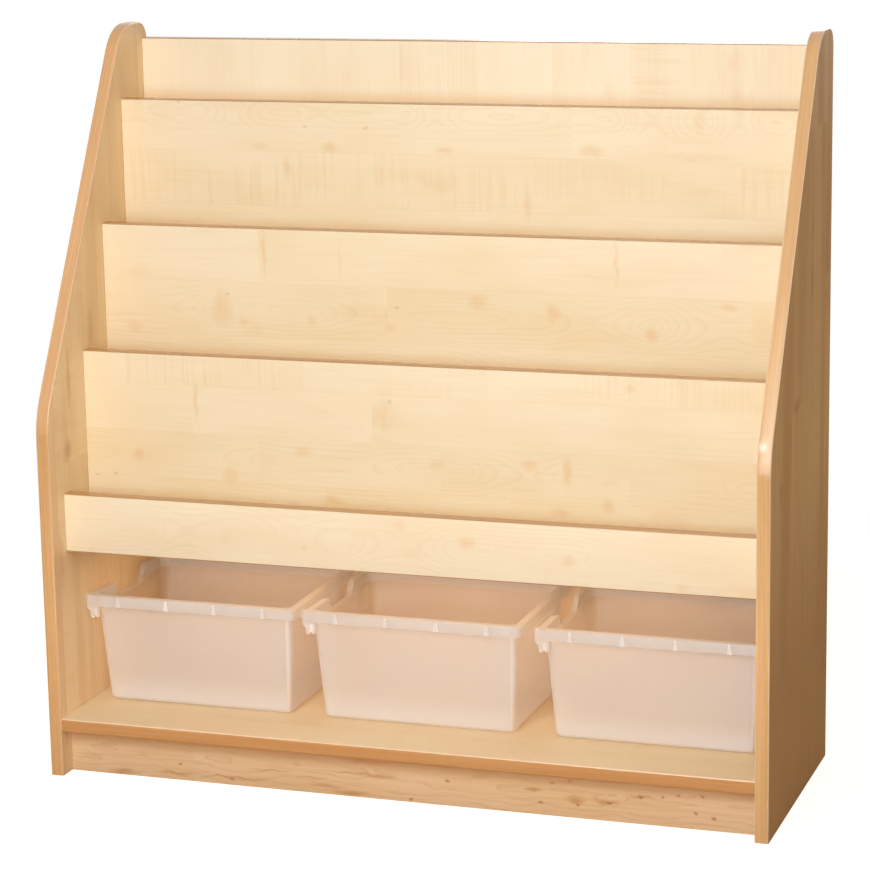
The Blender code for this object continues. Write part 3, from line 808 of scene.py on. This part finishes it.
def drilled(mesh, picked):
    """The mesh with its dowel holes cut."""
    body = add_object("drilled", mesh)
    cutter = dowel_holes(picked)
    cut = body.modifiers.new("holes", "BOOLEAN")
    cut.operation = "DIFFERENCE"
    cut.object = cutter
    graph = bpy.context.evaluated_depsgraph_get()
    result = bpy.data.meshes.new_from_object(body.evaluated_get(graph))
    result.name = mesh.name
    for helper in (body, cutter):
        bpy.data.objects.remove(helper, do_unlink=True)
    return result


def dowels_of(word):
    return sorted(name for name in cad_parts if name.startswith("dowel_") and word in name)


def board_mesh(name, low, high):
    """A board with eased arrises."""
    form = bmesh.new()
    size = [b - a for a, b in zip(low, high)]
    place = Matrix.Translation((Vector(low) + Vector(high)) / 2) @ Matrix.Diagonal((*size, 1.0))
    bmesh.ops.create_cube(form, size=1.0, matrix=place)
    bmesh.ops.bevel(form, geom=form.edges[:], offset=BOARD_ARRIS, segments=2, profile=0.5, affect="EDGES")
    return finish_mesh(form, name)


def paint_raw_foot(piece, material):
    """Gives the sawn faces on the floor the raw chipboard."""
    piece.data.materials.append(material)
    for face in piece.data.polygons:
        if face.normal.z < FACING_DOWN and face.center.z < BOARD / 2:
            face.material_index = 1


def make_boards(maples, raw):
    """Every flat board between the sides, drilled for its dowels."""
    for node, paint in maples.items():
        if node.endswith("side_panel"):
            continue
        low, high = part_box(node)
        if node in THIN_EDGED:
            high.z += EDGING - THIN_EDGING
        if node == "front_rail":
            low.z -= EDGING - THIN_EDGING
        mesh = drilled(board_mesh(node, low, high), dowels_of(f"dowel_{node}_"))
        piece = add_piece(node, mesh, paint, "cabinet")
        if node in RAW_FOOT_BOARDS:
            paint_raw_foot(piece, raw)


def arc(centre, radius, start, end):
    """Points of an arc from one angle to another, both included."""
    steps = max(2, math.ceil(abs(end - start) / ARC_STEP))
    angles = [start + (end - start) * i / steps for i in range(steps + 1)]
    return [(centre[0] + radius * math.cos(a), centre[1] + radius * math.sin(a)) for a in angles]


def side_outline(inset, foot):
    """The side's edge from front foot over the top to rear foot, moved inwards by inset."""
    bend = (FRONT + BEND_RADIUS, BEND_START)
    top = (REAR - TOP_BACK_RADIUS - TOP_FLAT, HEIGHT - TOP_FRONT_RADIUS)
    rear = (REAR - TOP_BACK_RADIUS, HEIGHT - TOP_BACK_RADIUS)
    along = (top[0] - bend[0], top[1] - bend[1])
    spread = math.acos((BEND_RADIUS - TOP_FRONT_RADIUS) / math.hypot(*along))
    square_to_slope = math.atan2(along[1], along[0]) + spread
    points = [(FRONT + inset, foot)]
    points += arc(bend, BEND_RADIUS - inset, math.pi, square_to_slope)
    points += arc(top, TOP_FRONT_RADIUS - inset, square_to_slope, math.pi / 2)
    points += arc(rear, TOP_BACK_RADIUS - inset, math.pi / 2, 0.0)
    points.append((REAR - inset, foot))
    return points


def loft(form, rows, second=(), first=0):
    """Closed sections joined one after another, capped.

    Faces take the paint numbered first; those after the rows in second take the second paint.
    """
    rings = [[form.verts.new(point) for point in row] for row in rows]
    count = len(rings[0])
    for row, (low, high) in enumerate(zip(rings, rings[1:])):
        for i in range(count):
            j = (i + 1) % count
            face = form.faces.new((low[i], low[j], high[j], high[i]))
            face.material_index = 1 if row in second else first
    form.faces.new(rings[0][::-1]).material_index = 1 if 0 in second else first
    form.faces.new(rings[-1]).material_index = first


def make_sides(maples, beech, raw):
    """Both side panels with their edge bands."""
    core = side_outline(EDGING, 0.0)
    for name in ("left", "right"):
        node = name + "_side_panel"
        low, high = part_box(node)
        form = bmesh.new()
        loft(form, [[(x, y, z) for y, z in core] for x in (low.x, high.x)])
        mesh = drilled(finish_mesh(form, node), dowels_of(f"_{name}_"))
        panel = add_piece(node, mesh, maples[node], "cabinet")
        paint_raw_foot(panel, raw)

        band = name + "_side_edging"
        low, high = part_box(band)
        turn = [math.pi / 2 * i / ARRIS_STEPS for i in range(ARRIS_STEPS + 1)]
        near = [(EDGING_ARRIS * (1 - math.cos(a)), EDGING_ARRIS * (1 - math.sin(a))) for a in turn]
        section = [(low.x, EDGING)] + [(low.x + across, inset) for across, inset in near]
        section += [(high.x - across, inset) for across, inset in near[::-1]] + [(high.x, EDGING)]
        paths = [[(x, y, z) for y, z in side_outline(inset, low.z)] for x, inset in section]
        form = bmesh.new()
        loft(form, list(zip(*paths)))
        add_piece(band, finish_mesh(form, band), beech[name], "cabinet")


def rounded_section(low, high, rounded, radius):
    """A rectangle of depth and height. Each rounded corner is a pair: at the rear, at the top."""
    points = []
    corners = (((False, False), math.pi), ((True, False), 1.5 * math.pi),
               ((True, True), 0.0), ((False, True), 0.5 * math.pi))
    for (rear, top), start in corners:
        y = high[0] if rear else low[0]
        z = high[1] if top else low[1]
        if (rear, top) not in rounded:
            points.append((y, z))
            continue
        middle = (y - radius if rear else y + radius, z - radius if top else z + radius)
        for i in range(ARRIS_STEPS + 1):
            a = start + math.pi / 2 * i / ARRIS_STEPS
            points.append((middle[0] + radius * math.cos(a), middle[1] + radius * math.sin(a)))
    return points


def make_bands(beech):
    """Straight edge bands on the boards, outer arrises rounded; those on panel edges are thin."""
    top = ((False, True), (True, True))
    bottom = ((False, False), (True, False))
    front = ((False, False), (False, True))
    bands = {"base_shelf_edging": front, "rail_bottom_edging": bottom}
    for name in ("rail_top", "lower_tier", "middle_tier", "upper_tier", "back_panel"):
        bands[name + "_edging"] = top
    for node, rounded in bands.items():
        low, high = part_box(node)
        if rounded == top:
            low.z = high.z - THIN_EDGING
        elif rounded == bottom:
            high.z = low.z + THIN_EDGING
        radius = EDGING_ARRIS if rounded == front else THIN_ARRIS
        section = rounded_section(low.yz, high.yz, rounded, radius)
        form = bmesh.new()
        loft(form, [[(x, y, z) for y, z in section] for x in (low.x, high.x)])
        paint = beech["shelf"] if node == "base_shelf_edging" else beech["straight"]
        add_piece(node, finish_mesh(form, node), paint, "cabinet")


def tray_drop(y):
    """How far the left rim lies below the others, a smooth dip between its raised ends."""
    share = (TRAY_DEPTH / 2 - TRAY_RAISED - abs(y)) / TRAY_RAMP
    share = min(1.0, max(0.0, share))
    return TRAY_DIP * share * share * (3 - 2 * share)


def tray_left_side(left, half_y, corner, ear):
    """Points along the left side from rear to front: ears and the dip's ramps."""
    half = TRAY_DEPTH / 2
    squeeze = (half_y - corner) / (half - TRAY_WALL - TRAY_RIM_CORNER)
    ear_end = half - TRAY_EAR_DEPTH
    ramp_top = half - TRAY_RAISED
    places = [(ear_end, ear), (ear_end - TRAY_WALL, 0.0)]
    places += [(ramp_top - TRAY_RAMP * i / TRAY_RAMP_STEPS, 0.0) for i in range(TRAY_RAMP_STEPS + 1)]
    rear = [(-left - out, y * squeeze, TRAY_LEFT_LIP if out == 0.0 else TRAY_LIP, tray_drop(y))
            for y, out in places]
    return rear + [(x, -y, lip, drop) for x, y, lip, drop in rear[::-1]]


def tray_outline(left, right, half_y, corner, ear=0.0):
    """Points round the tray from above, each with how far its lip hangs and its rim dips."""
    start = corner - left - ear
    turn = [math.pi / 2 * i / TRAY_CORNER_STEPS for i in range(TRAY_CORNER_STEPS + 1)]
    arc_y = half_y - corner
    front = []
    for a in turn:
        lip = TRAY_LIP + TRAY_EAR_CHAMFER * math.sin(a)
        front.append((start - corner * math.cos(a), -arc_y - corner * math.sin(a), lip, 0.0))
    front += [(start + along, -half_y, lip, 0.0) for along, lip in TAB_SHAPE]
    arc_x = right - corner
    front += [(arc_x + corner * math.sin(a), -arc_y - corner * math.cos(a), TRAY_LIP, 0.0) for a in turn]
    rear = [(x, -y, lip, drop) for x, y, lip, drop in front[::-1]]
    return front + rear + tray_left_side(left, half_y, corner, ear)


def tray_rings():
    """The tray's closed rings, from the inner floor over the rim and lip to the outer floor.

    Also gives the rows after which a wall's second face follows.
    """
    width = TRAY_WIDTH / 2
    top_left = width - TRAY_EAR - TRAY_LEFT_FLANGE
    top_right = width - TRAY_RIGHT_FLANGE
    top_y = TRAY_DEPTH / 2 - TRAY_END_FLANGE

    def wall(grow):
        return tray_outline(top_left + grow, top_right + grow, top_y + grow, TRAY_CORNER + grow)

    def rim(shrink):
        sides = (width - TRAY_EAR - shrink, width - shrink, TRAY_DEPTH / 2 - shrink)
        return tray_outline(*sides, TRAY_RIM_CORNER + TRAY_WALL - shrink, TRAY_EAR)

    def at_rim(outline, below):
        return [(x, y, TRAY_HEIGHT - drop - below) for x, y, lip, drop in outline]

    def at_lip(outline, above):
        return [(x, y, TRAY_HEIGHT - lip + above) for x, y, lip, drop in outline]

    def foot(radius, grow, floor):
        rings = []
        for i in range(TRAY_FLOOR_STEPS + 1):
            a = math.pi / 2 * i / TRAY_FLOOR_STEPS
            inset = radius * (1 - math.sin(a)) - grow
            side = TRAY_SIDE_TAPER + inset
            half_y = top_y - TRAY_END_TAPER - inset
            outline = tray_outline(top_left - side, top_right - side, half_y, TRAY_CORNER - inset)
            rings.append([(x, y, floor + radius * (1 - math.cos(a))) for x, y, lip, drop in outline])
        return rings

    soft = TRAY_ROUND * (1 - math.sqrt(0.5))
    rings = foot(TRAY_FLOOR_RADIUS - TRAY_WALL, -TRAY_WALL, TRAY_WALL)
    second = list(range(len(rings)))
    rings += [at_rim(wall(-TRAY_WALL), TRAY_ROUND), at_rim(wall(soft - TRAY_WALL), soft),
              at_rim(wall(TRAY_ROUND - TRAY_WALL), 0.0)]
    rings += [at_rim(rim(TRAY_ROUND), 0.0), at_rim(rim(soft), soft), at_rim(rim(0.0), TRAY_ROUND)]
    rings += [at_lip(rim(0.0), TRAY_LIP_ROUND), at_lip(rim(TRAY_LIP_ROUND), 0.0),
              at_lip(rim(TRAY_WALL - TRAY_LIP_ROUND / 2), 0.0), at_lip(rim(TRAY_WALL), TRAY_LIP_ROUND / 2)]
    second += [len(rings) - 1, len(rings)]
    rings += [at_rim(rim(TRAY_WALL), TRAY_WALL), at_rim(wall(0.0), TRAY_WALL)]
    rings += foot(TRAY_FLOOR_RADIUS, 0.0, 0.0)[::-1]
    return rings, second


def add_rib(form, x, end):
    """A rib on the end lip, wider at its foot. end is -1 at the front and 1 at the rear."""
    lip_y = TRAY_DEPTH / 2
    high = TRAY_HEIGHT - TRAY_ROUND
    low = TRAY_HEIGHT - TRAY_LIP + TRAY_LIP_ROUND
    rows = []
    for proud, ease in ((-RIB_BITE, 0.0), (RIB_PROUD, RIB_EASE)):
        y = end * (lip_y + proud)
        top = RIB_TOP_WIDTH / 2 - ease
        bottom = RIB_FOOT_WIDTH / 2 - ease
        head = high - ease
        rows.append([(x - bottom, y, low), (x + bottom, y, low), (x + top, y, head), (x - top, y, head)])
    loft(form, rows, first=2)


def add_web(form, x, end):
    """A plate behind the end lip, from the lip to the wall, under a rib."""
    high = TRAY_HEIGHT - TRAY_WALL + WEB_BITE
    low = TRAY_HEIGHT - TRAY_LIP + TRAY_LIP_ROUND
    slope = TRAY_END_TAPER / (TRAY_HEIGHT - TRAY_WALL - TRAY_FLOOR_RADIUS)
    lip_y = TRAY_DEPTH / 2 - TRAY_WALL + WEB_BITE
    wall_high = TRAY_DEPTH / 2 - TRAY_END_FLANGE - WEB_BITE
    wall_low = wall_high - slope * (high - low)
    section = [(lip_y, low), (lip_y, high), (wall_high, high), (wall_low, low)]
    loft(form, [[(x + half, end * y, z) for y, z in section] for half in (-RIB_WEB / 2, RIB_WEB / 2)])


def make_trays(paint, second_paint, rib_paint):
    """Three frosted trays, each riding on its own body."""
    for node in ("left_tray", "middle_tray", "right_tray"):
        low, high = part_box(node)
        form = bmesh.new()
        loft(form, *tray_rings())
        for x in RIB_PLACES:
            for end in (-1, 1):
                add_rib(form, x, end)
                add_web(form, x, end)
        middle = Vector(((low.x + high.x) / 2, (low.y + high.y) / 2, low.z))
        bmesh.ops.translate(form, verts=form.verts, vec=middle)
        mesh = finish_mesh(form, node)
        add_piece(node, mesh, paint, node)
        mesh.materials.append(second_paint)
        mesh.materials.append(rib_paint)


def wire(tree, *links):
    """Joins each output named to its input."""
    for output, socket in links:
        tree.links.new(output, socket)


def make_floor():
    """A wide pale floor that keeps the unit's shadow and shows as white to the camera."""
    form = bmesh.new()
    bmesh.ops.create_grid(form, x_segments=1, y_segments=1, size=FLOOR_REACH)
    mesh = bpy.data.meshes.new("floor")
    form.to_mesh(mesh)
    form.free()
    floor = add_object("floor", mesh)
    floor.location.z = -FLOOR_DROP
    material = bpy.data.materials.new("pale_floor")
    material.use_nodes = True
    tree = material.node_tree
    tree.nodes.clear()
    matt = tree.nodes.new("ShaderNodeBsdfDiffuse")
    matt.inputs["Color"].default_value = FLOOR_COLOUR
    lift = tree.nodes.new("ShaderNodeEmission")
    lift.inputs["Strength"].default_value = FLOOR_LIFT
    lifted = tree.nodes.new("ShaderNodeAddShader")
    white = tree.nodes.new("ShaderNodeEmission")
    place = tree.nodes.new("ShaderNodeTexCoord")
    away = tree.nodes.new("ShaderNodeVectorMath")
    away.operation = "LENGTH"
    share = tree.nodes.new("ShaderNodeMapRange")
    share.interpolation_type = "SMOOTHSTEP"
    share.inputs["From Min"].default_value = FLOOR_NEAR
    share.inputs["From Max"].default_value = FLOOR_FAR
    shown = tree.nodes.new("ShaderNodeMixShader")
    seen = tree.nodes.new("ShaderNodeLightPath")
    both = tree.nodes.new("ShaderNodeMixShader")
    out = tree.nodes.new("ShaderNodeOutputMaterial")
    wire(
        tree,
        (matt.outputs[0], lifted.inputs[0]),
        (lift.outputs[0], lifted.inputs[1]),
        (place.outputs["Object"], away.inputs[0]),
        (away.outputs["Value"], share.inputs["Value"]),
        (share.outputs[0], shown.inputs[0]),
        (lifted.outputs[0], shown.inputs[1]),
        (white.outputs[0], shown.inputs[2]),
        (seen.outputs["Is Camera Ray"], both.inputs[0]),
        (matt.outputs[0], both.inputs[1]),
        (shown.outputs[0], both.inputs[2]),
        (both.outputs[0], out.inputs[0]),
    )
    mesh.materials.append(material)


def make_world():
    """Soft warm light from all round, plain white to the camera, to gloss and through the plastic."""
    world = bpy.data.worlds.new("studio")
    bpy.context.scene.world = world
    world.use_nodes = True
    tree = world.node_tree
    seen = tree.nodes.new("ShaderNodeLightPath")
    flags = [seen.outputs[name] for name in ("Is Camera Ray", "Is Glossy Ray", "Is Transmission Ray")]
    shown = flags[0]
    for flag in flags[1:]:
        either = tree.nodes.new("ShaderNodeMath")
        either.operation = "MAXIMUM"
        wire(tree, (shown, either.inputs[0]), (flag, either.inputs[1]))
        shown = either.outputs[0]
    way = tree.nodes.new("ShaderNodeTexCoord")
    split = tree.nodes.new("ShaderNodeSeparateXYZ")
    to_right = tree.nodes.new("ShaderNodeMapRange")
    to_right.interpolation_type = "SMOOTHSTEP"
    to_right.inputs["From Min"].default_value = FILL_TURN[0]
    to_right.inputs["From Max"].default_value = FILL_TURN[1]
    tint = tree.nodes.new("ShaderNodeMix")
    tint.data_type = "RGBA"
    tint.inputs[6].default_value = FILL_COLOUR
    tint.inputs[7].default_value = FILL_RIGHT_COLOUR
    fill = tree.nodes.new("ShaderNodeBackground")
    fill.inputs["Strength"].default_value = FILL_STRENGTH
    white = tree.nodes["Background"]
    white.inputs["Color"].default_value = (1.0, 1.0, 1.0, 1.0)
    both = tree.nodes.new("ShaderNodeMixShader")
    wire(
        tree,
        (way.outputs["Generated"], split.inputs[0]),
        (split.outputs["X"], to_right.inputs["Value"]),
        (to_right.outputs[0], tint.inputs[0]),
        (tint.outputs[2], fill.inputs["Color"]),
        (shown, both.inputs[0]),
        (fill.outputs[0], both.inputs[1]),
        (white.outputs[0], both.inputs[2]),
        (both.outputs[0], tree.nodes["World Output"].inputs[0]),
    )


def add_softbox(name, place, aim, size, power, spread, colour):
    """A soft lamp; a smaller spread stands for a grid on its front."""
    data = bpy.data.lights.new(name, "AREA")
    data.spread = math.radians(spread)
    data.color = colour
    data.shape = "RECTANGLE"
    data.size, data.size_y = size
    data.energy = power
    lamp = add_object(name, data)
    lamp.location = place
    lamp.rotation_euler = (Vector(aim) - Vector(place)).to_track_quat("-Z", "Y").to_euler()
    lamp.visible_camera = False


def make_camera():
    """The photograph's camera."""
    flat = math.cos(CAMERA_ELEVATION)
    east, north = math.sin(CAMERA_AZIMUTH), math.cos(CAMERA_AZIMUTH)
    back = Vector((east * flat, -north * flat, math.sin(CAMERA_ELEVATION)))
    right = Vector((north, east, 0.0))
    up = back.cross(right)
    c, s = math.cos(CAMERA_ROLL), math.sin(CAMERA_ROLL)
    turned = Matrix((c * right + s * up, c * up - s * right, back)).transposed().to_4x4()
    turned.translation = CAMERA_PLACE
    data = bpy.data.cameras.new("photo_camera")
    data.lens = CAMERA_LENS
    data.sensor_width = CAMERA_SENSOR
    camera = add_object("photo_camera", data)
    camera.matrix_world = turned
    bpy.context.scene.camera = camera


def main():
    make_camera()
    bpy.context.scene.view_settings.view_transform = "Standard"
    maples = {}
    for seed, (node, layout) in enumerate(GRAIN_LAYOUT.items()):
        tones = LIT_AND_SHADED_TONES.get(node, (MAPLE_PALE, MAPLE_WARM))
        maples[node] = maple_paint(node, *tones, *layout, seed * SEED_STEP)
    beech = {band: beech_paint(*layout) for band, layout in BEECH_BANDS.items()}
    raw = chipboard_paint()
    make_boards(maples, raw)
    make_sides(maples, beech, raw)
    make_bands(beech)
    frosted = plastic_paint("frosted_plastic", WALL_COVER, REAR_COVER, RIM_COVER)
    make_trays(frosted, inside_paint(), plastic_paint("milky_plastic", RIB_COVER, RIB_COVER, RIB_COVER))
    pegs = dowel_paint()
    for name in dowels_of("dowel_"):
        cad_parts[name].data.materials.clear()
        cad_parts[name].data.materials.append(pegs)
    make_floor()
    make_world()
    for name, layout in LAMPS.items():
        add_softbox(name, *layout)


main()
